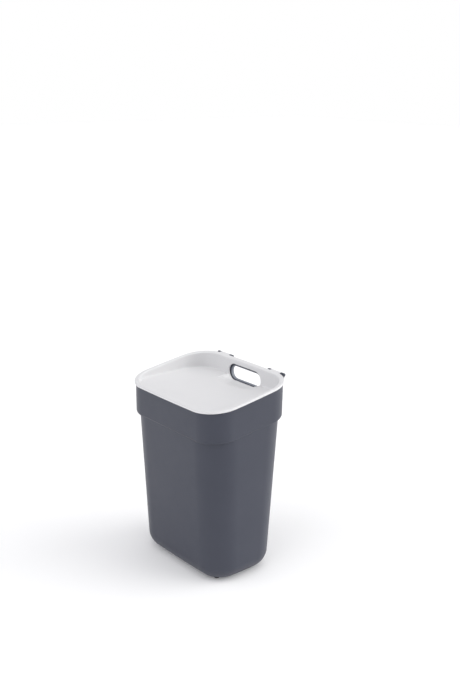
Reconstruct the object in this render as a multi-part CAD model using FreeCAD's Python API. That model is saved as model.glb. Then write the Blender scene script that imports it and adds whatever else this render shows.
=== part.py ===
import FreeCAD, Part
import math
import os

V = FreeCAD.Vector
os.makedirs("parts", exist_ok=True)

# Ten-litre bin with a hinged lid. Millimetres. While it is drawn, Z = 0 is the
# underside of the moulded base and Y = 0 is the middle of the lid's rim; the
# front is -Y, the hinge side is +Y. At the end everything is lifted onto its
# feet and shifted so that the origin is under the middle of the whole bin.

# --- bin, lower walls: half width, half depth, side bow radii, corner radius
BODY_LOW = (118.06, 75.66, 881.0, 3048.0, 49.44)
BODY_LOW_Z = 32.16
BODY_TOP = (125.12, 92.07, 1247.0, 3081.0, 56.99)
BODY_TOP_Z = 285.8
BODY_Y = 0.2             # the bin's centre behind the rim's centre
BASE_FILLET = 32.0       # large round between walls and base
WALL = 2.2
BASE_THICK = 2.8

# --- collar round the mouth
COLLAR_LOW = (127.05, 94.00, 1939.0, 3976.0, 46.76)
COLLAR_LOW_Z = 288.8
COLLAR_TOP = (128.45, 95.40, 1949.0, 3998.0, 50.20)
COLLAR_TOP_Z = 372.0
COLLAR_UNDER_Z = 285.8   # underside of the collar at Y = 0
COLLAR_SLOPE = 0.10
COLLAR_ROUND = 3.4
MOUTH_Z = 347.7          # edge of the mouth at Y = 0, 0.3 under the rim

# --- lid
RIM = (130.95, 97.90, 1658.0, 3645.0, 54.2)
RIM_Z = 350.0            # top of the rim at Y = 0
RIM_SLOPE = 0.141        # the rim climbs about 8 degrees to the back
RIM_SKIRT = 4.2
RIM_SHEET = 2.0
SKIRT_WALL = 1.3
LID_WALL = 1.9
TRAY_Y = -0.8
TRAY_TOP = (124.2, 89.2, 1650.0, 3630.0, 48.6)
TRAY_TOP_Z = 364.0
TRAY_LOW = (122.0, 88.6, 1645.0, 3625.0, 47.0)
PANEL_Z = 331.0          # the lid's level panel
TRAY_FILLET = 3.5

# --- hand hole through the lid's back wall, and its lining on the bin
HOLE_HALF_X = 45.0
HOLE_HALF_Z = 16.4
HOLE_Z = 337.4
LINING_HALF_X = 41.2
LINING_HALF_Z = 13.3
LINING_Z = 336.4
LINING_WALL = 2.2
LINING_BACK_Y = 97.9
LINING_GAP = 2.2         # between the lid's back wall and the lining
RETURN_WALL = 1.5        # rim behind the lid's hand hole
RETURN_DEPTH = 1.7
FLANGE = 4.4             # how far the lining's front flange stands out round its hole
FLANGE_T = 1.4

# --- scoop in the panel in front of the hand hole
SCOOP_HALF_X = 42.5
SCOOP_FRONT_Y = 46.5
SCOOP_TOE_Y = 78.0
SCOOP_Z = 320.9
SCOOP_CORNER = 17.0

# --- hinges
AXIS_Y = 102.3
AXIS_Z = 360.0
HINGE_X = 71.1
EAR_R = 4.0
EAR_WIDTH = 8.0
KNUCKLE_R = 3.9
KNUCKLE_HALF = 12.4
KNUCKLE_SIDE_GAP = 0.4
PIN_R = 1.9
PIN_PLAY = 0.05
PIN_HEAD_R = 3.0
PIN_HEAD_T = 1.0

# --- feet
FOOT_X = 81.8
FOOT_Y = 43.3
FOOT_R = 5.0
FOOT_DROP = 1.5          # how far the feet lift the base
FOOT_SOCKET = 1.9
FOOT_ROUND = 0.6

Y_MID = (AXIS_Y + EAR_R - RIM[1]) / 2.0


def lerp(p, q, t):
    return tuple(a + (b - a) * t for a, b in zip(p, q))


def section(low, low_z, top, top_z, z):
    """The outline of a drafted wall at height z."""
    return lerp(low, top, (z - low_z) / (top_z - low_z))


def grow(s, d):
    """An outline moved outwards by d all round."""
    return tuple(v + d for v in s)


def outline(s, z, y0=0.0):
    """Closed outline of bowed sides and round corners, eight tangent arcs."""
    a, b, rx, ry, r = s
    p, q = a - rx, b - ry
    big, small = rx - r, ry - r
    k0 = (big ** 2 - small ** 2 - p ** 2 + q ** 2) / (2 * q)
    k1 = p / q
    qa, qb, qc = 1 + k1 ** 2, 2 * (k0 * k1 - p), p ** 2 + k0 ** 2 - big ** 2
    cx = (-qb + math.sqrt(qb ** 2 - 4 * qa * qc)) / (2 * qa)
    cy = k0 + k1 * cx
    l1 = math.hypot(cx - p, cy)
    t1 = (p + (cx - p) / l1 * rx, cy / l1 * rx)
    l2 = math.hypot(cx, cy - q)
    t2 = (cx / l2 * ry, q + (cy - q) / l2 * ry)
    mid = math.radians(0.5 * (math.degrees(math.atan2(t1[1] - cy, t1[0] - cx)) + math.degrees(math.atan2(t2[1] - cy, t2[0] - cx))))
    m = (cx + r * math.cos(mid), cy + r * math.sin(mid))

    def at(x, y):
        return V(x, y + y0, z)

    arcs = [
        (at(t1[0], -t1[1]), at(a, 0), at(t1[0], t1[1])),
        (at(t1[0], t1[1]), at(m[0], m[1]), at(t2[0], t2[1])),
        (at(t2[0], t2[1]), at(0, b), at(-t2[0], t2[1])),
        (at(-t2[0], t2[1]), at(-m[0], m[1]), at(-t1[0], t1[1])),
        (at(-t1[0], t1[1]), at(-a, 0), at(-t1[0], -t1[1])),
        (at(-t1[0], -t1[1]), at(-m[0], -m[1]), at(-t2[0], -t2[1])),
        (at(-t2[0], -t2[1]), at(0, -b), at(t2[0], -t2[1])),
        (at(t2[0], -t2[1]), at(m[0], -m[1]), at(t1[0], -t1[1])),
    ]
    return Part.Wire([Part.Arc(*e).toShape() for e in arcs])


def drafted(low, low_z, top, top_z, z0, z1, y0=0.0):
    """Solid block inside a drafted wall, from z0 to z1."""
    return Part.makeLoft([
        outline(section(low, low_z, top, top_z, z0), z0, y0),
        outline(section(low, low_z, top, top_z, z1), z1, y0),
    ], True, True)


def yz_prism(points, x0, x1):
    w = Part.makePolygon([V(x0, y, z) for y, z in points + points[:1]])
    return Part.Face(w).extrude(V(x1 - x0, 0, 0))


def above(z, slope):
    return yz_prism([(-200, z - 200 * slope), (200, z + 200 * slope), (200, 700), (-200, 700)], -250, 250)


def below(z, slope):
    return yz_prism([(-200, z - 200 * slope), (200, z + 200 * slope), (200, -200), (-200, -200)], -250, 250)


def stadium(half_x, half_z, zc, y0, y1):
    """Long round-ended block along Y."""
    c = half_x - half_z
    p = [V(-c, y0, zc + half_z), V(c, y0, zc + half_z), V(c + half_z, y0, zc), V(c, y0, zc - half_z), V(-c, y0, zc - half_z), V(-c - half_z, y0, zc)]
    w = Part.Wire([
        Part.LineSegment(p[0], p[1]).toShape(),
        Part.Arc(p[1], p[2], p[3]).toShape(),
        Part.LineSegment(p[3], p[4]).toShape(),
        Part.Arc(p[4], p[5], p[0]).toShape(),
    ])
    return Part.Face(w).extrude(V(0, y1 - y0, 0))


def edges_on(shape, test):
    """Edges of which every sampled point passes the test."""
    found = []
    for e in shape.Edges:
        f, l = e.FirstParameter, e.LastParameter
        if all(test(e.valueAt(f + (l - f) * k / 4.0)) for k in range(5)):
            found.append(e)
    return found


def cylinder_x(r, x0, x1, y, z):
    return Part.makeCylinder(r, x1 - x0, V(x0, y, z), V(1, 0, 0))


# ---------------------------------------------------------------- bin body
outer = drafted(BODY_LOW, BODY_LOW_Z, BODY_TOP, BODY_TOP_Z, 0.0, 300.0, BODY_Y)
outer = outer.makeFillet(BASE_FILLET, edges_on(outer, lambda p: abs(p.z) < 1e-6))

collar = drafted(COLLAR_LOW, COLLAR_LOW_Z, COLLAR_TOP, COLLAR_TOP_Z, 260.0, 372.0, BODY_Y)
collar = collar.common(above(COLLAR_UNDER_Z, COLLAR_SLOPE))
collar = collar.makeFillet(COLLAR_ROUND, edges_on(collar, lambda p: abs(p.z - COLLAR_UNDER_Z - COLLAR_SLOPE * p.y) < 1e-4))
collar = collar.common(below(MOUTH_Z, RIM_SLOPE))

ears = []
for side in (-1, 1):
    for inner_edge in (HINGE_X - KNUCKLE_HALF - KNUCKLE_SIDE_GAP - EAR_WIDTH, HINGE_X + KNUCKLE_HALF + KNUCKLE_SIDE_GAP):
        x0, x1 = sorted((side * inner_edge, side * (inner_edge + EAR_WIDTH)))
        ear = cylinder_x(EAR_R, x0, x1, AXIS_Y, AXIS_Z)
        web = yz_prism([(92.0, 351.0), (95.2, 356.9), (98.4, 357.6), (AXIS_Y, AXIS_Z), (AXIS_Y + 3.25, AXIS_Z - 2.33), (97.4, 332.0), (92.0, 327.0)], x0, x1)
        ears.append(ear.fuse(web))

body = outer.fuse([collar] + ears)

cavity = drafted(grow(BODY_LOW, -WALL), BODY_LOW_Z, grow(BODY_TOP, -WALL), BODY_TOP_Z, BASE_THICK, 312.0, BODY_Y)
cavity = cavity.makeFillet(BASE_FILLET - WALL, edges_on(cavity, lambda p: abs(p.z - BASE_THICK) < 1e-6))
mouth = drafted(grow(COLLAR_LOW, -WALL), COLLAR_LOW_Z, grow(COLLAR_TOP, -WALL), COLLAR_TOP_Z, 260.0, 380.0, BODY_Y)
mouth = mouth.common(above(COLLAR_UNDER_Z + 2.4, COLLAR_SLOPE))
mouth = mouth.makeFillet(1.6, edges_on(mouth, lambda p: abs(p.z - COLLAR_UNDER_Z - 2.4 - COLLAR_SLOPE * p.y) < 1e-4))
body = body.cut(cavity.fuse(mouth))

# lining of the hand hole, its front face parallel to the lid's back wall
wall_lean = (TRAY_TOP[1] - TRAY_LOW[1]) / (TRAY_TOP_Z - PANEL_Z)


def lid_back(z):
    """Outer face of the lid's back wall."""
    return TRAY_Y + TRAY_LOW[1] + LID_WALL + wall_lean * (z - PANEL_Z)


def behind_lid(d, thick):
    """Slab parallel to the lid's back wall, d behind it."""
    return yz_prism([(lid_back(300.0) + d, 300.0), (lid_back(300.0) + d + thick, 300.0), (lid_back(370.0) + d + thick, 370.0), (lid_back(370.0) + d, 370.0)], -100, 100)


tube = stadium(LINING_HALF_X + LINING_WALL, LINING_HALF_Z + LINING_WALL, LINING_Z, 80.0, LINING_BACK_Y).common(behind_lid(LINING_GAP, 30.0))
flange = stadium(LINING_HALF_X + FLANGE, LINING_HALF_Z + FLANGE, LINING_Z, 80.0, LINING_BACK_Y).common(behind_lid(LINING_GAP, FLANGE_T))
body = body.fuse([tube, flange])
body = body.cut(stadium(LINING_HALF_X, LINING_HALF_Z, LINING_Z, 70.0, 120.0))

for side in (-1, 1):
    body = body.cut(cylinder_x(PIN_R, side * HINGE_X - 30.0, side * HINGE_X + 30.0, AXIS_Y, AXIS_Z))
for sx in (-1, 1):
    for sy in (-1, 1):
        body = body.cut(Part.makeCylinder(FOOT_R, FOOT_SOCKET + 5.0, V(sx * FOOT_X, sy * FOOT_Y + BODY_Y, -5.0)))
body = body.removeSplitter()

# ---------------------------------------------------------------------- lid
rim = drafted(RIM, 0.0, RIM, 100.0, 300.0, 400.0)
rim = rim.common(above(RIM_Z - RIM_SKIRT, RIM_SLOPE)).common(below(RIM_Z, RIM_SLOPE))
rim = rim.makeFillet(1.3, edges_on(rim, lambda p: abs(p.z - RIM_Z - RIM_SLOPE * p.y) < 1e-4))
under = drafted(grow(RIM, -SKIRT_WALL), 0.0, grow(RIM, -SKIRT_WALL), 100.0, 300.0, 400.0).common(below(RIM_Z - RIM_SHEET, RIM_SLOPE))
rim = rim.cut(under)

tray = drafted(grow(TRAY_LOW, LID_WALL), PANEL_Z, grow(TRAY_TOP, LID_WALL), TRAY_TOP_Z, PANEL_Z - LID_WALL, 380.0, TRAY_Y)
tray = tray.makeFillet(TRAY_FILLET + LID_WALL, edges_on(tray, lambda p: abs(p.z - PANEL_Z + LID_WALL) < 1e-6))
tray = tray.common(below(RIM_Z - 0.8, RIM_SLOPE))
dish = drafted(TRAY_LOW, PANEL_Z, TRAY_TOP, TRAY_TOP_Z, PANEL_Z, 400.0, TRAY_Y)
dish = dish.makeFillet(TRAY_FILLET, edges_on(dish, lambda p: abs(p.z - PANEL_Z) < 1e-6))


def scoop(d):
    """Hollow that leads the fingers to the hole, grown by d on the underside."""
    hx, yf, r = SCOOP_HALF_X + d, SCOOP_FRONT_Y - d, SCOOP_CORNER + d
    yb = TRAY_Y + TRAY_LOW[1] + (d if d else -0.3)
    k = r * (1 - math.sqrt(0.5))
    p = [V(-hx, yb, 300), V(-hx, yf + r, 300), V(-hx + k, yf + k, 300), V(-hx + r, yf, 300), V(hx - r, yf, 300), V(hx - k, yf + k, 300), V(hx, yf + r, 300), V(hx, yb, 300)]
    w = Part.Wire([
        Part.LineSegment(p[0], p[1]).toShape(),
        Part.Arc(p[1], p[2], p[3]).toShape(),
        Part.LineSegment(p[3], p[4]).toShape(),
        Part.Arc(p[4], p[5], p[6]).toShape(),
        Part.LineSegment(p[6], p[7]).toShape(),
        Part.LineSegment(p[7], p[0]).toShape(),
    ])
    plan = Part.Face(w).extrude(V(0, 0, PANEL_Z + 3.0 - 300 if not d else PANEL_Z - 300))
    ramp = yz_prism([(yf - 0.1, PANEL_Z - d), (SCOOP_TOE_Y - 0.2 * d, SCOOP_Z - d), (yb + 5, SCOOP_Z - d), (yb + 5, 360), (yf - 30, 360), (yf - 30, PANEL_Z - d)], -80, 80)
    return plan.common(ramp)


hole_rim = stadium(HOLE_HALF_X + RETURN_WALL, HOLE_HALF_Z + RETURN_WALL, HOLE_Z, 80.0, 100.0).common(behind_lid(-0.9, 0.9 + RETURN_DEPTH))
lid = tray.fuse([rim, scoop(LID_WALL), hole_rim])
lid = lid.cut(dish)
lid = lid.cut(scoop(0.0))
lid = lid.cut(stadium(HOLE_HALF_X, HOLE_HALF_Z, HOLE_Z, 84.0, 96.0))

for side in (-1, 1):
    x0, x1 = side * HINGE_X - KNUCKLE_HALF, side * HINGE_X + KNUCKLE_HALF
    knuckle = cylinder_x(KNUCKLE_R, x0, x1, AXIS_Y, AXIS_Z)
    arm = yz_prism([(97.0, 360.1), (97.0, 363.0), (AXIS_Y, AXIS_Z + KNUCKLE_R), (AXIS_Y, AXIS_Z - 1.0), (99.0, AXIS_Z - 2.1)], x0, x1)
    lid = lid.fuse(knuckle.fuse(arm))
for side in (-1, 1):
    lid = lid.cut(cylinder_x(PIN_R + PIN_PLAY, side * HINGE_X - 30.0, side * HINGE_X + 30.0, AXIS_Y, AXIS_Z))
lid = lid.removeSplitter()


# --------------------------------------------------------------------- pins
def hinge_pin(side):
    """Headed pin, pressed in from the outer ear."""
    reach = KNUCKLE_HALF + KNUCKLE_SIDE_GAP + EAR_WIDTH
    shank = cylinder_x(PIN_R, -reach + 0.4, reach, 0.0, 0.0)
    shank = shank.makeChamfer(0.5, edges_on(shank, lambda p: abs(p.x + reach - 0.4) < 1e-6))
    head = cylinder_x(PIN_HEAD_R, reach, reach + PIN_HEAD_T, 0.0, 0.0)
    head = head.makeFillet(0.7, edges_on(head, lambda p: abs(p.x - reach - PIN_HEAD_T) < 1e-6))
    pin = shank.fuse(head).removeSplitter()
    if side < 0:
        pin.rotate(V(0, 0, 0), V(0, 0, 1), 180.0)
    pin.translate(V(side * HINGE_X, AXIS_Y, AXIS_Z))
    return pin


# --------------------------------------------------------------------- feet
def foot(sx, sy):
    """Soft stud in its round socket under the base."""
    f = Part.makeCylinder(FOOT_R, FOOT_DROP + FOOT_SOCKET, V(0, 0, -FOOT_DROP))
    f = f.makeFillet(FOOT_ROUND, edges_on(f, lambda p: abs(p.z + FOOT_DROP) < 1e-6))
    f.translate(V(sx * FOOT_X, sy * FOOT_Y + BODY_Y, 0))
    return f


pieces = {
    "bin_body": body,
    "lid": lid,
    "hinge_pin_left": hinge_pin(-1),
    "hinge_pin_right": hinge_pin(1),
    "foot_front_left": foot(-1, -1),
    "foot_front_right": foot(1, -1),
    "foot_rear_left": foot(-1, 1),
    "foot_rear_right": foot(1, 1),
}

for name, shape in pieces.items():
    shape.translate(V(0, -Y_MID, FOOT_DROP))
    solids = shape.Solids
    box = shape.BoundBox
    print("%-18s solids %d valid %s volume %.1f cm3  x %.2f..%.2f y %.2f..%.2f z %.2f..%.2f" % (name, len(solids), shape.isValid(), shape.Volume / 1000.0, box.XMin, box.XMax, box.YMin, box.YMax, box.ZMin, box.ZMax))
    if len(solids) == 1:
        shape = solids[0]
    shape.exportStep(os.path.join("parts", name + ".step"))
print("shift in Y %.4f" % -Y_MID)
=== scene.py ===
import math

import bmesh
import bpy
import numpy as np
from mathutils import Matrix, Vector


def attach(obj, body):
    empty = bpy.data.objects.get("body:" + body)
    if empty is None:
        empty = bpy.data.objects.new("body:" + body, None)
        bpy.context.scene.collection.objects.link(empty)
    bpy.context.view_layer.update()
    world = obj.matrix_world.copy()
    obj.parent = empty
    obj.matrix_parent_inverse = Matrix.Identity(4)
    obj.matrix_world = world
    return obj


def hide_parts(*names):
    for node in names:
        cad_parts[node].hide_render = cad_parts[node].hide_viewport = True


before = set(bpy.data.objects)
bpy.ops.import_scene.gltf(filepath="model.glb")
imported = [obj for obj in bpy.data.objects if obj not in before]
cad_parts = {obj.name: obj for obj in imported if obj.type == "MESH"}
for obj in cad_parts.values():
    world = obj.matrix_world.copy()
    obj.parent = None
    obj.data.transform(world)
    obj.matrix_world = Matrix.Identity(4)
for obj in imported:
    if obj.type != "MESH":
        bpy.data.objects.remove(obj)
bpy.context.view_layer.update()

scene = bpy.context.scene

# ------------------------------------------------------------------ camera
AZ, EL, ROLL = math.radians(49.18), math.radians(16.509), math.radians(0.823)
back = Vector((math.sin(AZ) * math.cos(EL), -math.cos(AZ) * math.cos(EL), math.sin(EL)))
right = Vector((math.cos(AZ), math.sin(AZ), 0.0))
up = back.cross(right)
right2 = right * math.cos(ROLL) + up * math.sin(ROLL)
up2 = up * math.cos(ROLL) - right * math.sin(ROLL)
cam_data = bpy.data.cameras.new("camera")
cam = bpy.data.objects.new("camera", cam_data)
scene.collection.objects.link(cam)
m = Matrix.Identity(4)
for i in range(3):
    m[i][0], m[i][1], m[i][2] = right2[i], up2[i], back[i]
m.translation = Vector((1.2451, -1.0283, 0.8939))
cam.matrix_world = m
cam_data.sensor_width = 36.0
cam_data.lens = 48.83
cam_data.clip_end = 60.0
scene.camera = cam

# ------------------------------------------------------- studio and light
scene.view_settings.view_transform = "Standard"
scene.view_settings.look = "None"
world = bpy.data.worlds.new("studio")
scene.world = world
world.use_nodes = True
wt = world.node_tree
bg = wt.nodes["Background"]
bg.inputs["Color"].default_value = (0.965, 0.96, 1.0, 1.0)
bg.inputs["Strength"].default_value = 0.53
seen = wt.nodes.new("ShaderNodeBackground")
seen.inputs["Color"].default_value = (1.0, 1.0, 1.0, 1.0)
seen.inputs["Strength"].default_value = 1.0
path = wt.nodes.new("ShaderNodeLightPath")
mix = wt.nodes.new("ShaderNodeMixShader")
wt.links.new(path.outputs["Is Camera Ray"], mix.inputs[0])
wt.links.new(bg.outputs[0], mix.inputs[1])
wt.links.new(seen.outputs[0], mix.inputs[2])
wt.links.new(mix.outputs[0], wt.nodes["World Output"].inputs["Surface"])
# the studio is a little darker on the side that the bin's front right corner faces
aim = wt.nodes.new("ShaderNodeTexCoord")
lean = wt.nodes.new("ShaderNodeVectorMath")
lean.operation = "DOT_PRODUCT"
lean.inputs[1].default_value = (0.755, -0.656, 0.0)
dim = wt.nodes.new("ShaderNodeMapRange")
dim.inputs["From Min"].default_value, dim.inputs["From Max"].default_value = 0.0, 1.0
dim.inputs["To Min"].default_value, dim.inputs["To Max"].default_value = 0.55, 0.40
wt.links.new(aim.outputs["Generated"], lean.inputs[0])
wt.links.new(lean.outputs["Value"], dim.inputs["Value"])
wt.links.new(dim.outputs["Result"], bg.inputs["Strength"])


def soft_sun(name, azimuth, elevation, strength, spread, color=(1.0, 1.0, 1.0)):
    """A very large soft source, far off. The azimuth counts from +X towards +Y."""
    data = bpy.data.lights.new(name, "SUN")
    data.energy = strength
    data.angle = math.radians(spread)
    data.color = color
    o = bpy.data.objects.new(name, data)
    scene.collection.objects.link(o)
    a, e = math.radians(azimuth), math.radians(elevation)
    d = Vector((math.cos(a) * math.cos(e), math.sin(a) * math.cos(e), math.sin(e)))
    o.rotation_mode = "QUATERNION"
    o.rotation_quaternion = (-d).to_track_quat("-Z", "Y")
    o.location = d * 3.0
    return o


soft_sun("side", 48.0, 13.0, 2.25, 60.0, (1.0, 1.0, 0.985))
soft_sun("top", 12.0, 70.0, 1.1, 80.0, (1.0, 1.0, 0.985))
soft_sun("fill", 262.0, 31.0, 1.0, 66.0, (0.98, 0.985, 1.0))


def material(name):
    mat = bpy.data.materials.new(name)
    mat.use_nodes = True
    nt = mat.node_tree
    return mat, nt, nt.nodes["Principled BSDF"]


floor_mat, nt, bsdf = material("floor_card")
bsdf.inputs["Base Color"].default_value = (0.90, 0.90, 0.90, 1.0)
bsdf.inputs["Roughness"].default_value = 0.9
bsdf.inputs["Specular IOR Level"].default_value = 0.1
bsdf.inputs["Emission Color"].default_value = (0.97, 0.97, 1.0, 1.0)
bsdf.inputs["Emission Strength"].default_value = 0.09
fm = bpy.data.meshes.new("floor")
fm.from_pydata([(-12, -12, 0), (12, -12, 0), (12, 12, 0), (-12, 12, 0)], [], [(0, 1, 2, 3)])
floor = bpy.data.objects.new("floor", fm)
scene.collection.objects.link(floor)
fm.materials.append(floor_mat)


# --------------------------------------------------------------- materials
def node(nt, kind, **kw):
    n = nt.nodes.new(kind)
    for k, v in kw.items():
        if k in n.inputs:
            n.inputs[k].default_value = v
        else:
            setattr(n, k, v)
    return n


def moulded(name, base, dark, light, rough, grain_scale, grain_depth, scuff, painted_light_polish_finish=None):
    """Moulded plastic: fine pressed grain, faint flow mottling, slight scuffs that change the gloss.

    The last argument gives the hand hole lining's look: a lower roughness for its polish, and a lighter colour that is
    painted light, standing in for light the lining catches; the mesh marks where it goes.
    """
    mat, nt, bsdf = material(name)
    L = nt.links.new
    tc = node(nt, "ShaderNodeTexCoord")
    grain = node(nt, "ShaderNodeTexNoise", noise_dimensions="3D")
    grain.inputs["Scale"].default_value = grain_scale
    grain.inputs["Detail"].default_value = 3.0
    grain.inputs["Roughness"].default_value = 0.55
    L(tc.outputs["Object"], grain.inputs["Vector"])
    mottle = node(nt, "ShaderNodeTexNoise", noise_dimensions="3D")
    mottle.inputs["Scale"].default_value = 14.0
    mottle.inputs["Detail"].default_value = 4.0
    L(tc.outputs["Object"], mottle.inputs["Vector"])
    ramp = node(nt, "ShaderNodeValToRGB")
    ramp.color_ramp.elements[0].position, ramp.color_ramp.elements[0].color = 0.30, (*dark, 1.0)
    ramp.color_ramp.elements[1].position, ramp.color_ramp.elements[1].color = 0.70, (*light, 1.0)
    mid = ramp.color_ramp.elements.new(0.5)
    mid.color = (*base, 1.0)
    L(mottle.outputs["Fac"], ramp.inputs["Fac"])
    color = ramp.outputs["Color"]
    streak = node(nt, "ShaderNodeTexNoise", noise_dimensions="3D")
    streak.inputs["Scale"].default_value = 60.0
    streak.inputs["Detail"].default_value = 6.0
    streak.inputs["Roughness"].default_value = 0.7
    L(tc.outputs["Object"], streak.inputs["Vector"])
    r = node(nt, "ShaderNodeMapRange")
    r.inputs["From Min"].default_value, r.inputs["From Max"].default_value = 0.3, 0.75
    r.inputs["To Min"].default_value, r.inputs["To Max"].default_value = rough - scuff, rough + scuff
    L(streak.outputs["Fac"], r.inputs["Value"])
    gloss = r.outputs["Result"]
    if painted_light_polish_finish:
        mark = node(nt, "ShaderNodeAttribute", attribute_name="painted_light_polish_mask")
        patchy = node(nt, "ShaderNodeMapRange")
        patchy.inputs["From Min"].default_value, patchy.inputs["From Max"].default_value = 0.25, 0.6
        patchy.inputs["To Min"].default_value, patchy.inputs["To Max"].default_value = 0.75, 1.0
        L(streak.outputs["Fac"], patchy.inputs["Value"])
        amount = node(nt, "ShaderNodeMath", operation="MULTIPLY")
        L(mark.outputs["Fac"], amount.inputs[0])
        L(patchy.outputs["Result"], amount.inputs[1])
        # painted light: the base colour is mixed towards a lighter blue-grey where the lining is marked
        painted_light_tone = node(nt, "ShaderNodeMix", data_type="RGBA")
        L(amount.outputs["Value"], painted_light_tone.inputs[0])
        L(color, painted_light_tone.inputs[6])
        painted_light_tone.inputs[7].default_value = (*painted_light_polish_finish[0], 1.0)
        color = painted_light_tone.outputs[2]
        sheen = node(nt, "ShaderNodeMix", data_type="FLOAT")
        L(amount.outputs["Value"], sheen.inputs[0])
        L(gloss, sheen.inputs[2])
        sheen.inputs[3].default_value = painted_light_polish_finish[1]
        gloss = sheen.outputs[0]
    L(color, bsdf.inputs["Base Color"])
    L(gloss, bsdf.inputs["Roughness"])
    bump = node(nt, "ShaderNodeBump")
    bump.inputs["Strength"].default_value = 0.6
    bump.inputs["Distance"].default_value = grain_depth
    L(grain.outputs["Fac"], bump.inputs["Height"])
    L(bump.outputs["Normal"], bsdf.inputs["Normal"])
    bsdf.inputs["IOR"].default_value = 1.49
    return mat


# the last pair is the hand hole lining: a lighter colour that is painted light, and a lower roughness for its polish
BIN = moulded("bin_plastic_look", (0.0355, 0.0400, 0.0600), (0.0335, 0.0380, 0.0575), (0.0378, 0.0423, 0.0625), 0.43, 2600.0, 0.00006, 0.03, ((0.19, 0.21, 0.245), 0.26))
LID = moulded("lid_plastic_look", (0.688, 0.686, 0.693), (0.678, 0.677, 0.685), (0.697, 0.695, 0.701), 0.40, 2600.0, 0.00004, 0.03)
PIN = moulded("pin_plastic_look", (0.040, 0.044, 0.062), (0.036, 0.040, 0.058), (0.045, 0.049, 0.068), 0.35, 1200.0, 0.00003, 0.05)
FOOT = moulded("foot_rubber_look", (0.02, 0.02, 0.022), (0.016, 0.016, 0.018), (0.028, 0.028, 0.03), 0.75, 1800.0, 0.00012, 0.08)

# ------------------------------------------------------------ bin outlines
# Millimetres, drawn with z = 0 at the underside of the moulded base and
# y = 0 at the middle of the lid's rim, then shifted into the model's frame.
SHIFT = np.array([0.0, -4.2, 1.5])

BODY = ((118.06, 75.66, 881.0, 3048.0, 49.44), 32.16, (125.12, 92.07, 1247.0, 3081.0, 56.99), 285.8, 0.2)
COLLAR = ((127.05, 94.00, 1939.0, 3976.0, 46.76), 288.8, (128.45, 95.40, 1949.0, 3998.0, 50.20), 372.0, 0.2)
RIM = ((130.95, 97.90, 1658.0, 3645.0, 54.2), 0.0, (130.95, 97.90, 1658.0, 3645.0, 54.2), 100.0, 0.0)
TRAY = ((122.0, 88.6, 1645.0, 3625.0, 47.0), 331.0, (124.2, 89.2, 1650.0, 3630.0, 48.6), 364.0, -0.8)
RIM_Z, SLOPE, PANEL_Z = 350.0, 0.141, 331.0
HOLE = (28.6, 337.4, 16.4)       # half length between the round ends, height, radius
LINING = (28.3, 336.0, 12.9)
AXIS_Y, AXIS_Z, HINGE_X = 102.3, 360.0, 71.1
EYE_R = 3.4

N_SIDE, N_CORNER = 22, 24
XS = [66, 62, 58, 54, 50, 48.2, 46.8, 45.7, 44.9, 44.2, 43.5, 42.8, 42.0, 41.1, 40.1, 38.9, 37.4, 35.5, 33.2, 30.8, 28.6, 26.5, 24, 21, 18, 15, 12, 9, 6, 3, 0]
QUARTER = [("s", k / N_SIDE) for k in range(N_SIDE + 1)] + [("c", k / N_CORNER) for k in range(1, N_CORNER + 1)] + [("x", v) for v in XS]
COLS = (
    [(1, 1, q) for q in QUARTER]
    + [(-1, 1, q) for q in reversed(QUARTER[:-1])]
    + [(-1, -1, q) for q in QUARTER[1:]]
    + [(1, -1, q) for q in reversed(QUARTER[1:-1])]
)
N = len(COLS)
SX = np.array([c[0] for c in COLS], float)
SY = np.array([c[1] for c in COLS], float)
IS_S = np.array([c[2][0] == "s" for c in COLS])
IS_C = np.array([c[2][0] == "c" for c in COLS])
VAL = np.array([c[2][1] for c in COLS], float)


def section(w, z, d=0.0):
    t = (np.asarray(z, float) - w[1]) / (w[3] - w[1])
    return tuple(l + (h - l) * t + d for l, h in zip(w[0], w[2]))


def ring(w, z, d=0.0):
    """Points and outward directions of every column on the drafted wall w at height z, moved outwards by d."""
    z = np.broadcast_to(np.asarray(z, float), (N,))
    a, b, rx, ry, r = section(w, z, d)
    p, q = a - rx, b - ry
    big, small = rx - r, ry - r
    k0 = (big ** 2 - small ** 2 - p ** 2 + q ** 2) / (2 * q)
    k1 = p / q
    qa, qb, qc = 1 + k1 ** 2, 2 * (k0 * k1 - p), p ** 2 + k0 ** 2 - big ** 2
    cx = (-qb + np.sqrt(qb ** 2 - 4 * qa * qc)) / (2 * qa)
    cy = k0 + k1 * cx
    a1 = np.arctan2(cy, cx - p)
    a2 = np.arctan2(cy - q, cx)
    ts = a1 * VAL
    tc = a1 + (a2 - a1) * VAL
    tx = np.arccos(np.clip(VAL / ry, -1, 1))
    ang = np.where(IS_S, ts, np.where(IS_C, tc, tx))
    nx, ny = np.cos(ang), np.sin(ang)
    x = np.where(IS_S, p + rx * nx, np.where(IS_C, cx + r * nx, VAL))
    y = np.where(IS_S, rx * ny, np.where(IS_C, cy + r * ny, q + ry * ny))
    return np.c_[x * SX, y * SY + w[4]], np.c_[nx * SX, ny * SY]


def on_slope(w, z0, slope, d=0.0):
    z = np.full(N, float(z0))
    for _ in range(5):
        p, n = ring(w, z, d)
        z = z0 + slope * p[:, 1]
    return p, n, z


def back_y(w, x, z, d=0.0):
    """Height-and-width lookup on the back of a drafted wall."""
    a, b, rx, ry, r = section(w, z, d)
    return b - ry + np.sqrt(ry ** 2 - np.asarray(x, float) ** 2) + w[4]


def row(p, z):
    return np.c_[p, np.broadcast_to(z, (len(p),))]


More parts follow.
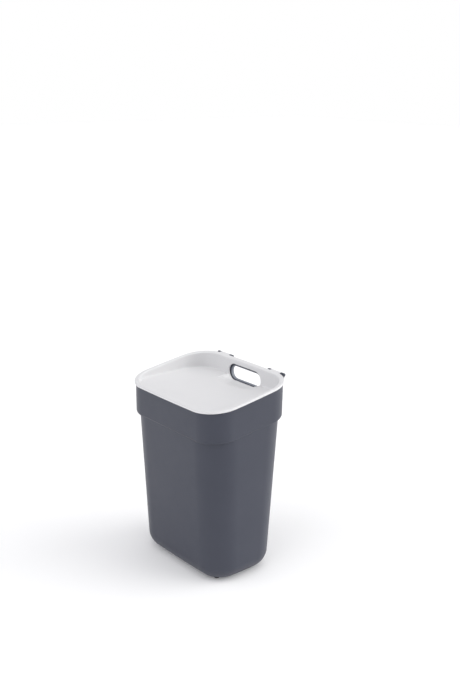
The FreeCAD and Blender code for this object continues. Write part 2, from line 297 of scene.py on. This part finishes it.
def foot_rows(w, floor, radius, steps, d):
    """A ball rolled along the foot of a drafted wall, from the floor outwards and up."""
    p0, n0 = ring(w, floor, d)
    p1, _ = ring(w, floor + radius, d)
    m = ((p1 - p0) * n0).sum(1) / radius
    sc = m * radius - radius * np.sqrt(1 + m * m)
    rows = []
    for k in range(steps + 1):
        th = -math.pi / 2 + (math.pi / 2 - np.arctan(m)) * k / steps
        zf = radius + radius * np.sin(th)
        off = sc + radius * np.cos(th) - m * zf
        p, n = ring(w, floor + zf, d)
        rows.append(row(p + n * off[:, None], floor + zf))
    return rows


class Shell:
    """Vertices and faces gathered from rows of columns, loops and small closed parts."""

    def __init__(self):
        self.v, self.f, self.painted_light_polish_mask = [], [], []

    def add(self, pts, painted_light_polish_mask=0.0):
        first = len(self.v)
        self.v.extend([tuple(map(float, p)) for p in pts])
        self.painted_light_polish_mask.extend([painted_light_polish_mask] * (len(self.v) - first))
        return list(range(first, len(self.v)))

    def strip(self, a, b, closed=True):
        n = len(a)
        for k in range(n if closed else n - 1):
            j = (k + 1) % n
            self.f.append((a[k], a[j], b[j], b[k]))

    def grid(self, rows, windows=()):
        """Rows of N columns. A window (first row, second row, first column, last column) is left open."""
        ids = [self.add(r) for r in rows]
        for i in range(len(rows) - 1):
            for j in range(N):
                if any(min(w[0], w[1]) <= i < max(w[0], w[1]) and w[2] <= j < w[3] for w in windows):
                    continue
                k = (j + 1) % N
                self.f.append((ids[i][j], ids[i][k], ids[i + 1][k], ids[i + 1][j]))
        return ids

    def build(self, name, mat, sharp=38.0, merge=4e-6):
        mesh = bpy.data.meshes.new(name)
        co = (np.array(self.v) + SHIFT) / 1000.0
        mesh.from_pydata([tuple(c) for c in co], [], self.f)
        # mask for the hand hole lining's painted light and polish
        painted_light_polish_mask = mesh.attributes.new("painted_light_polish_mask", "FLOAT", "POINT")
        painted_light_polish_mask.data.foreach_set("value", self.painted_light_polish_mask)
        bm = bmesh.new()
        bm.from_mesh(mesh)
        bmesh.ops.remove_doubles(bm, verts=bm.verts, dist=merge)
        bmesh.ops.dissolve_degenerate(bm, edges=bm.edges, dist=1e-7)
        loose = [v for v in bm.verts if not v.link_faces]
        bmesh.ops.delete(bm, geom=loose, context="VERTS")
        bm.to_mesh(mesh)
        bm.free()
        mesh.shade_smooth()
        mesh.set_sharp_from_angle(angle=math.radians(sharp))
        mesh.materials.append(mat)
        o = bpy.data.objects.new(name, mesh)
        scene.collection.objects.link(o)
        wn = o.modifiers.new("normals", "WEIGHTED_NORMAL")
        wn.keep_sharp = True
        return o


def window_loop(ids, first, second, c0, c1):
    step = 1 if second > first else -1
    out = [ids[first][c] for c in range(c0, c1 + 1)]
    out += [ids[r][c1] for r in range(first + step, second, step)]
    out += [ids[second][c] for c in range(c1, c0 - 1, -1)]
    out += [ids[r][c0] for r in range(second - step, first, -step)]
    return out


def stadium_dirs(x, z, hole):
    """Nearest point of the hole's middle line, and the direction away from it."""
    sx = np.clip(x, -hole[0], hole[0])
    dx, dz = x - sx, z - hole[1]
    l = np.hypot(dx, dz)
    return sx, dx / l, dz / l


def core_rows(p, z, ts, spine, yc):
    """Rows that close an outline onto a line along X."""
    target = np.c_[np.clip(p[:, 0], -spine, spine), np.full(len(p), yc)]
    return [row(p + (target - p) * t, z) for t in ts]


def lathe_x(sh, profile, y, z, sides=40):
    """Closed turned shape round an X axis: profile of (x, radius)."""
    ring_ids = []
    for x, r in profile:
        ring_ids.append(sh.add([(x, y + r * math.cos(2 * math.pi * k / sides), z + r * math.sin(2 * math.pi * k / sides)) for k in range(sides)]))
    for a, b in zip(ring_ids, ring_ids[1:] + ring_ids[:1]):
        sh.strip(b, a)


def lathe_z(sh, profile, x, y, sides=48):
    """Turned shape round a Z axis: profile of (radius, z), closed at both ends on the axis."""
    ring_ids = [sh.add([(x + r * math.cos(2 * math.pi * k / sides), y + r * math.sin(2 * math.pi * k / sides), z) for k in range(sides)]) for r, z in profile]
    for a, b in zip(ring_ids, ring_ids[1:]):
        sh.strip(a, b)


def prism_x(sh, pts, x0, x1, bevel, steps=3):
    """A profile in Y and Z drawn counter-clockwise seen from +X, with rounded ends."""
    p = np.array(pts, float)
    nxt, prv = np.roll(p, -1, 0), np.roll(p, 1, 0)
    e1, e0 = nxt - p, p - prv
    e1 /= np.linalg.norm(e1, axis=1)[:, None]
    e0 /= np.linalg.norm(e0, axis=1)[:, None]
    n1, n0 = np.c_[e1[:, 1], -e1[:, 0]], np.c_[e0[:, 1], -e0[:, 0]]
    m = n0 + n1
    m /= np.maximum((m * n1).sum(1), 0.35)[:, None]
    loops = [(x0 + bevel * (1 - math.cos(math.pi / 2 * k / steps)), -bevel * (1 - math.sin(math.pi / 2 * k / steps))) for k in range(steps + 1)]
    loops = loops + [(x1 - (x - x0), d) for x, d in reversed(loops)]
    ids = [sh.add([(x, q[0], q[1]) for q in p + m * d]) for x, d in loops]
    for a, b in zip(ids, ids[1:]):
        sh.strip(a, b)
    sh.f.append(tuple(reversed(ids[0])))
    sh.f.append(tuple(ids[-1]))


# -------------------------------------------------------------- bin shell
def lid_back(z):
    return TRAY[4] + TRAY[0][1] + 1.9 + (0.6 / 33.0) * (z - PANEL_Z)


def build_bin():
    sh = Shell()
    rows = []
    outer = foot_rows(BODY, 0.0, 32.0, 16, 0.0)
    flat = outer[0][:, :2]
    centre = np.array([0.0, 0.2])
    for s, z in ((0.0, 1.0), (0.12, 1.0), (0.30, 1.0), (0.50, 1.0), (0.68, 1.0), (0.80, 1.0), (0.846, 1.0), (0.853, 0.93), (0.858, 0.75), (0.864, 0.25), (0.869, 0.07), (0.876, 0.0), (0.92, 0.0), (0.965, 0.0)):
        rows.append(row(centre + (flat - centre) * s, z))
    rows += outer

    # where the wall meets the collar's underside
    pb, nb, z = on_slope(BODY, 285.8, 0.10)
    for _ in range(4):
        pb, nb = ring(BODY, z)
        pc, nc = ring(COLLAR, z)
        d = pb - pc
        g = np.linalg.norm(d, axis=1)
        zc = 285.8 + 0.10 * pc[:, 1] + 3.42
        th0 = -np.arccos(np.clip(1 - g / 3.4, 0, 1))
        z = zc + 3.42 * np.sin(th0)
    e = d / g[:, None]
    z_join, z_tan = z, outer[-1][:, 2]
    for k in range(1, 15):
        zz = z_tan + (z_join - z_tan) * k / 15.0
        rows.append(row(ring(BODY, zz)[0], zz))
    reach = np.minimum(g, 3.4)
    for f in (1.0, 0.5, 0.0):
        off = reach + (g - reach) * f
        rows.append(row(pc + e * off[:, None], z_join))
    for k in range(1, 9):
        th = th0 * (1 - k / 8.0)
        zz = zc + 3.42 * np.sin(th)
        rows.append(row(ring(COLLAR, zz)[0] + e * (3.4 * (1 - np.cos(th)))[:, None], zz))
    _, _, z_lip = on_slope(COLLAR, 347.7, SLOPE)
    n_wall = 24
    r_out0 = len(rows) - 1
    for k in range(1, n_wall + 1):
        zz = zc + (z_lip - 0.8 - zc) * k / n_wall
        rows.append(row(ring(COLLAR, zz)[0], zz))
    for k in range(1, 6):
        th = math.pi / 2 * k / 5
        zz = z_lip - 0.8 + 0.8 * math.sin(th)
        rows.append(row(ring(COLLAR, zz, -0.8 * (1 - math.cos(th)))[0], zz))
    for k in range(0, 6):
        th = math.pi / 2 * (1 - k / 5)
        zz = z_lip - 0.8 + 0.8 * math.sin(th)
        rows.append(row(ring(COLLAR, zz, -2.2 + 0.8 * (1 - math.cos(th)))[0], zz))
    r_in0 = len(rows) - 1
    ci, ni, z_led = on_slope(COLLAR, 288.2, 0.10, -2.2)
    for k in range(1, n_wall + 1):
        zz = z_lip - 0.8 + (z_led + 1.6 - z_lip + 0.8) * k / n_wall
        rows.append(row(ring(COLLAR, zz, -2.2)[0], zz))
    bi, _ = ring(BODY, z_led, -2.2)
    di = bi - ci
    gi = np.linalg.norm(di, axis=1)
    ei = di / gi[:, None]
    for k in range(1, 6):
        th = math.pi / 2 * k / 5
        rows.append(row(ci + ei * np.minimum(1.6 * (1 - math.cos(th)), gi)[:, None], z_led + 1.6 * (1 - math.sin(th))))
    for off, dz in ((0.7, 0.0), (0.45, 0.0), (0.13, -0.12), (0.0, -0.45)):
        rows.append(row(ci + ei * (gi - off)[:, None] if off else ring(BODY, z_led + dz, -2.2)[0], z_led + dz))
    inner = foot_rows(BODY, 2.8, 29.8, 14, -2.2)
    z_i = inner[-1][:, 2]
    for k in range(1, 15):
        zz = z_led - 0.45 + (z_i - z_led + 0.45) * k / 15.0
        rows.append(row(ring(BODY, zz, -2.2)[0], zz))
    rows += inner[::-1]
    flat_i = inner[0][:, :2]
    for s in (0.9, 0.75, 0.6, 0.45, 0.3, 0.15, 0.0):
        rows.append(row(centre + (flat_i - centre) * s, 2.8))

    c0 = next(j for j, c in enumerate(COLS) if c[0] == 1 and c[1] == 1 and c[2] == ("x", 50))
    c1 = next(j for j, c in enumerate(COLS) if c[0] == -1 and c[1] == 1 and c[2] == ("x", 50))
    zcol = [rows[r_out0 + k][c0][2] for k in range(n_wall + 1)]
    k_lo = min(range(n_wall + 1), key=lambda k: abs(zcol[k] - 316.0))
    k_hi = min(range(n_wall + 1), key=lambda k: abs(zcol[k] - 357.5))
    w_out = (r_out0 + k_lo, r_out0 + k_hi, c0, c1)
    w_in = (r_in0 + n_wall - k_lo, r_in0 + n_wall - k_hi, c0, c1)
    ids = sh.grid(rows, (w_out, w_in))
    loop = window_loop(ids, *w_out)
    loop_in = window_loop(ids, *w_in)
    at = np.array([sh.v[i] for i in loop])
    sx, ux, uz = stadium_dirs(at[:, 0], at[:, 2], LINING)

    def pt(delta, y):
        x, z = sx + (LINING[2] + delta) * ux, LINING[1] + (LINING[2] + delta) * uz
        return np.c_[x, y(x, z) if callable(y) else np.full(len(x), y), z]

    def wall(d):
        return lambda x, z: back_y(COLLAR, x, z, d)

    def front(d):
        return lambda x, z: lid_back(z) + 2.2 + d

    chain = []
    edge = pt(2.8, wall(0.0))
    for t in (0.35, 0.65, 0.88):
        q = at + (edge - at) * t
        q[:, 1] = back_y(COLLAR, q[:, 0], q[:, 2])
        chain.append(q)
    chain.append(edge)
    for th in (0.52, 1.05, 1.5708):
        chain.append(pt(2.8 - 0.6 * math.sin(th), wall(0.6 * (1 - math.cos(th)))))
    chain.append(pt(2.2, 97.2))
    for th in (0.39, 0.79, 1.18, 1.5708):
        chain.append(pt(2.2 - 0.7 * (1 - math.cos(th)), 97.2 + 0.7 * math.sin(th)))
    for th in (0.0, 0.39, 0.79, 1.18, 1.5708):
        chain.append(pt(0.7 * (1 - math.sin(th)), 97.2 + 0.7 * math.cos(th)))
    chain.append(pt(0.0, 95.6))
    chain.append(pt(0.0, 93.8))
    for th in (0.0, 0.39, 0.79, 1.18, 1.5708):
        chain.append(pt(0.7 * (1 - math.cos(th)), front(0.7 * (1 - math.sin(th)))))
    chain.append(pt(2.3, front(0.0)))
    for th in (0.0, 0.52, 1.05, 1.5708):
        chain.append(pt(4.1 + 0.3 * math.sin(th), front(0.3 * (1 - math.cos(th)))))
    chain.append(pt(4.4, lambda x, z: 0.5 * (lid_back(z) + 2.5 + back_y(COLLAR, x, z, -2.2))))
    inner_edge = pt(4.45, wall(-2.2))
    chain.append(inner_edge)
    at_in = np.array([sh.v[i] for i in loop_in])
    for t in (0.3, 0.65):
        q = inner_edge + (at_in - inner_edge) * t
        q[:, 1] = back_y(COLLAR, q[:, 0], q[:, 2], -2.2)
        chain.append(q)
    last = loop
    # painted light: chain rows 15 to 24, the tunnel and the front of its flange, are marked for the lining's lighter
    # painted colour and lower roughness
    for k, q in enumerate(chain):
        cur = sh.add(q, {15: 0.5, 16: 1.0, 17: 1.0, 18: 1.0, 19: 1.0, 20: 1.0, 21: 0.9, 22: 0.6, 23: 0.45, 24: 0.25}.get(k, 0.0))
        sh.strip(last, cur)
        last = cur
    sh.strip(last, loop_in)

    # hinge ears: a turned eye with a bore, on a thinner web
    for side in (-1, 1):
        for lo in (HINGE_X - 12.4 - 0.4 - 8.0, HINGE_X + 12.4 + 0.4):
            x0, x1 = sorted((side * lo, side * (lo + 8.0)))
            prof = [(x0 + 0.15, 1.9), (x0, 2.05), (x0, EYE_R - 0.7)]
            prof += [(x0 + 0.7 * (1 - math.cos(t)), EYE_R - 0.7 + 0.7 * math.sin(t)) for t in (0.39, 0.79, 1.18, 1.5708)]
            prof += [(x0 + 4.0, EYE_R)]
            prof += [(x1 - 0.7 * (1 - math.cos(t)), EYE_R - 0.7 + 0.7 * math.sin(t)) for t in (1.5708, 1.18, 0.79, 0.39)]
            prof += [(x1, EYE_R - 0.7), (x1, 2.05), (x1 - 0.15, 1.9)]
            lathe_x(sh, prof, AXIS_Y, AXIS_Z)
            arc = [(AXIS_Y + 2.7 * math.cos(math.radians(t)), AXIS_Z + 2.7 * math.sin(math.radians(t))) for t in range(322, 212, -12)]
            web = [(93.6, 333.0), (96.2, 331.6), (96.9, 332.3), (97.5, 333.6), (101.4, 345.0), (AXIS_Y + 2.6, AXIS_Z - 2.2)] + arc + [(97.9, 357.9), (96.4, 357.2), (95.6, 356.6), (93.6, 354.0)]
            prism_x(sh, web, x0 + 0.6, x1 - 0.6, 0.5)
    # moulding gate in the middle of the base
    lathe_z(sh, [(0.0, 0.35), (1.1, 0.35), (1.5, 0.5), (1.7, 0.8), (2.6, 1.0), (2.6, 1.6), (0.0, 1.6)][::-1], 0.0, 0.2, 32)
    return sh


# -------------------------------------------------------------- lid shell
def smin(a, b, k):
    h = np.clip(0.5 + 0.5 * (b - a) / k, 0, 1)
    return b + (a - b) * h - k * h * (1 - h)


def scoop_depth(x, y, radius, level, lead):
    """Depth below the panel of the hollow that leads to the hand hole."""
    ex = np.maximum(np.abs(x) - HOLE[0], 0.0)
    lim = 0.905 * radius
    cut = np.minimum(ex, lim)
    dx = np.sqrt(radius ** 2 - cut ** 2) - (ex - cut) * lim / math.sqrt(radius ** 2 - lim ** 2) - (HOLE[1] - level)
    start = 45.8 + 11.0 * np.minimum(np.abs(x) / 42.6, 1.35) ** 3 - lead
    dy = (y - start) * 0.30
    m = smin(dx, dy, 3.0)
    return 0.5 * (m + np.sqrt(m * m + 0.5))


def build_lid():
    sh = Shell()
    under, top = [], []
    absx = np.abs(np.where(IS_S | IS_C, 200.0, VAL))
    at_back = SY > 0
    t = np.clip((absx - 44.2) / 9.8, 0, 1)
    rho = np.where(at_back, 2.4 * t * t * (3 - 2 * t), 2.4)

    # foot of the tray's wall
    zf = np.full(N, PANEL_Z)
    for _ in range(4):
        pw, nw = ring(TRAY, zf)
        zf = PANEL_Z - scoop_depth(pw[:, 0], pw[:, 1], 16.5, PANEL_Z, 0.0) * at_back
    _, _, z_top = on_slope(TRAY, RIM_Z, SLOPE)
    n_wall = 13
    panel_k = 33

    def panel_rows(low):
        out = []
        for k in range(1, panel_k + 1):
            dd = rho + (44.0 - rho) * k / panel_k
            p = ring(TRAY, zf, -dd)[0]
            if low:
                z = PANEL_Z - 1.9 - scoop_depth(p[:, 0], p[:, 1], 18.4, PANEL_Z - 1.9, 0.5)
            else:
                z = PANEL_Z - scoop_depth(p[:, 0], p[:, 1], 16.5, PANEL_Z, 0.0)
            out.append(row(p, z))
        p, z = out[-1][:, :2], out[-1][:, 2]
        out += core_rows(p, z, (0.2, 0.4, 0.6, 0.8, 1.0), 33.0, -0.8)
        return out

    # underside, from the middle outwards
    under += panel_rows(True)[::-1]
    p_low = ring(TRAY, zf, -rho)[0]
    z_low = PANEL_Z - 1.9 - scoop_depth(p_low[:, 0], p_low[:, 1], 18.4, PANEL_Z - 1.9, 0.5)
    drop = zf + rho - z_low
    for k in range(0, 8):
        th = math.pi / 2 * (1 - k / 7)
        z = zf + rho - drop * math.sin(th)
        zz = np.maximum(z, zf)
        under.append(row(ring(TRAY, zz, -rho + (rho + 1.9) * math.cos(th))[0], z))
    u_foot = len(under) - 1
    z_start = zf + rho
    z_a = z_top - 5.2
    for k in range(1, n_wall + 1):
        z = z_start + (z_a - z_start) * k / n_wall
        under.append(row(ring(TRAY, z, 1.9)[0], z))
    u_top = len(under) - 1
    pu, _, zu = on_slope(TRAY, RIM_Z - 2.0, SLOPE, 1.9)
    under.append(row(ring(TRAY, zu - 0.9, 1.9)[0], zu - 0.9))
    for dd, dz in ((1.95, -0.5), (2.1, -0.2), (2.35, 0.0)):
        p = ring(TRAY, zu, dd)[0]
        under.append(row(p, RIM_Z - 2.0 + SLOPE * p[:, 1] + dz))
    p0 = ring(TRAY, zu, 2.35)[0]
    p1, _ = ring(RIM, 0.0, -1.3 - 0.5)
    for s in (0.5, 1.0):
        p = p0 + (p1 - p0) * s
        under.append(row(p, RIM_Z - 2.0 + SLOPE * p[:, 1]))
    for dd, dz in ((-1.45, -0.15), (-1.3, -0.5)):
        p = ring(RIM, 0.0, dd)[0]
        under.append(row(p, RIM_Z - 2.0 + SLOPE * p[:, 1] + dz))
    sb = RIM_Z - 4.2
    for dd, dz in ((-1.3, 0.35), (-1.2, 0.1), (-0.95, 0.0), (-0.35, 0.0), (-0.1, 0.1), (0.0, 0.35)):
        p = ring(RIM, 0.0, dd)[0]
        under.append(row(p, sb + SLOPE * p[:, 1] + dz))

    # outside of the skirt, the rim and the tray
    for dz in (0.95, 1.6):
        p = ring(RIM, 0.0, 0.0)[0]
        top.append(row(p, sb + SLOPE * p[:, 1] + 0.35 + dz))
    for k in range(0, 8):
        th = math.pi / 2 * k / 7
        p = ring(RIM, 0.0, -1.3 * (1 - math.cos(th)))[0]
        top.append(row(p, RIM_Z + SLOPE * p[:, 1] - 1.3 * (1 - math.sin(th))))
    p0 = top[-1][:, :2]
    p1 = ring(TRAY, z_top, 2.2)[0]
    for s in (0.3, 0.65):
        p = p0 + (p1 - p0) * s
        top.append(row(p, RIM_Z + SLOPE * p[:, 1]))
    for k in range(0, 10):
        th = math.pi / 2 * k / 9
        dd = 2.2 * (1 - math.sin(th))
        p = ring(TRAY, z_top - 2.2 * (1 - math.cos(th)), dd)[0]
        top.append(row(p, RIM_Z + SLOPE * p[:, 1] - 2.2 * (1 - math.cos(th))))
    z_last = top[-1][:, 2]
    mid = z_last + (z_a - z_last) * 0.5
    top.append(row(ring(TRAY, mid)[0], mid))
    t_top = len(top)
    for k in range(0, n_wall + 1):
        z = z_a + (z_start - z_a) * k / n_wall
        top.append(row(ring(TRAY, z)[0], z))
    t_foot = len(top) - 1
    for k in range(1, 8):
        th = math.pi / 2 * k / 7
        p = ring(TRAY, zf, -rho * (1 - math.cos(th)))[0]
        z = PANEL_Z - scoop_depth(p[:, 0], p[:, 1], 16.5, PANEL_Z, 0.0) + rho * (1 - math.sin(th))
        z = np.where(rho < 1e-9, zf, z)
        top.append(row(p, z))
    top += panel_rows(False)

    base = len(under)
    rows = under + top
    c0 = next(j for j, c in enumerate(COLS) if c[0] == 1 and c[1] == 1 and c[2] == ("x", 50))
    c1 = next(j for j, c in enumerate(COLS) if c[0] == -1 and c[1] == 1 and c[2] == ("x", 50))
    w_top = (base + t_top, base + t_foot, c0, c1)
    w_under = (u_top, u_foot, c0, c1)
    ids = sh.grid(rows, (w_top, w_under))
    loop = window_loop(ids, *w_top)
    loop_u = window_loop(ids, *w_under)
    at = np.array([sh.v[i] for i in loop])
    at_u = np.array([sh.v[i] for i in loop_u])
    sx, ux, uz = stadium_dirs(at[:, 0], at[:, 2], HOLE)
    room = np.hypot(at[:, 0] - sx - HOLE[2] * ux, at[:, 2] - HOLE[1] - HOLE[2] * uz)
    lip = np.minimum(0.85, 0.6 * room)

    def pt(delta, depth):
        x, z = sx + (HOLE[2] + delta) * ux, HOLE[1] + (HOLE[2] + delta) * uz
        return np.c_[x, back_y(TRAY, x, z) + depth, z]

    chain = []
    edge = pt(lip, 0.0)
    for t in (0.3, 0.58, 0.82):
        q = at + (edge - at) * t
        q[:, 1] = back_y(TRAY, q[:, 0], q[:, 2])
        chain.append(q)
    for th in (0.0, 0.39, 0.79, 1.18, 1.5708):
        chain.append(pt(lip * (1 - math.sin(th)), 0.85 * (1 - math.cos(th))))
    chain.append(pt(0.0 * lip, 1.4))
    chain.append(pt(0.0 * lip, 2.4))
    for th in (0.0, 0.39, 0.79, 1.18, 1.5708):
        chain.append(pt(0.45 * (1 - math.cos(th)), 3.15 + 0.45 * math.sin(th)))
    for th in (0.0, 0.52, 1.05, 1.5708):
        chain.append(pt(1.1 + 0.4 * math.sin(th), 3.6 - 0.4 * (1 - math.cos(th))))
    room_u = np.hypot(at_u[:, 0] - sx - HOLE[2] * ux, at_u[:, 2] - HOLE[1] - HOLE[2] * uz)
    flare = 0.5 * np.clip(room_u / 2.0, 0.0, 1.0)
    for th in (0.0, 0.52, 1.05, 1.5708):
        chain.append(pt(1.5 + flare * (1 - math.cos(th)), 1.9 + flare * (1 - math.sin(th))))
    far = pt(1.5 + flare, 1.9)
    for t in (0.35, 0.7):
        q = far + (at_u - far) * t
        q[:, 1] = back_y(TRAY, q[:, 0], q[:, 2], 1.9)
        chain.append(q)
    last = loop
    for q in chain:
        cur = sh.add(q)
        sh.strip(last, cur)
        last = cur
    sh.strip(last, loop_u)

    # hinge knuckles with their arms to the rim
    for side in (-1, 1):
        x0, x1 = side * HINGE_X - 12.4, side * HINGE_X + 12.4
        prof = [(x0 + 0.15, 1.95), (x0, 2.1), (x0, EYE_R - 0.6)]
        prof += [(x0 + 0.6 * (1 - math.cos(t)), EYE_R - 0.6 + 0.6 * math.sin(t)) for t in (0.39, 0.79, 1.18, 1.5708)]
        prof += [(x0 + 0.5 * (x1 - x0), EYE_R)]
        prof += [(x1 - 0.6 * (1 - math.cos(t)), EYE_R - 0.6 + 0.6 * math.sin(t)) for t in (1.5708, 1.18, 0.79, 0.39)]
        prof += [(x1, EYE_R - 0.6), (x1, 2.1), (x1 - 0.15, 1.95)]
        lathe_x(sh, prof, AXIS_Y, AXIS_Z)
        arc = [(AXIS_Y + 2.7 * math.cos(math.radians(t)), AXIS_Z + 2.7 * math.sin(math.radians(t))) for t in range(226, 92, -12)]
        arm = [(96.9, 360.6), (97.4, 359.9), (98.9, 358.9), (99.8, 357.8)] + arc + [(AXIS_Y, AXIS_Z + EYE_R - 0.03), (99.6, AXIS_Z + EYE_R - 0.05), (97.6, 363.2), (96.9, 362.6)]
        prism_x(sh, arm, x0 + 0.3, x1 - 0.3, 0.4)
    return sh


# ------------------------------------------------------------------- feet
def build_foot(x, y):
    sh = Shell()
    prof = [(0.0, -1.1), (2.2, -1.1), (3.0, -1.15), (3.3, -1.32), (3.5, -1.46), (3.75, -1.5), (4.4, -1.5)]
    prof += [(4.4 + 0.6 * math.sin(t), -0.9 - 0.6 * math.cos(t)) for t in (0.31, 0.63, 0.94, 1.26, 1.5708)]
    prof += [(5.0, 1.5), (4.9, 1.8), (4.7, 1.9), (0.0, 1.9)]
    lathe_z(sh, prof, x, y)
    return sh


def place(sh, name, body, nodes, mat):
    o = sh.build(name, mat)
    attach(o, body)
    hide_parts(*nodes)
    return o


place(build_bin(), "bin_shell", "bin", ["bin_body"], BIN)
place(build_lid(), "lid_shell", "lid", ["lid"], LID)
for sx_, ns in ((-1, "left"), (1, "right")):
    for sy_, ew in ((-1, "front"), (1, "rear")):
        place(build_foot(81.8 * sx_, 43.3 * sy_ + 0.2), "rubber_foot_%s_%s" % (ew, ns), "bin", ["foot_%s_%s" % (ew, ns)], FOOT)
for name in ("hinge_pin_left", "hinge_pin_right"):
    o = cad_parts[name]
    o.data.materials.clear()
    o.data.materials.append(PIN)
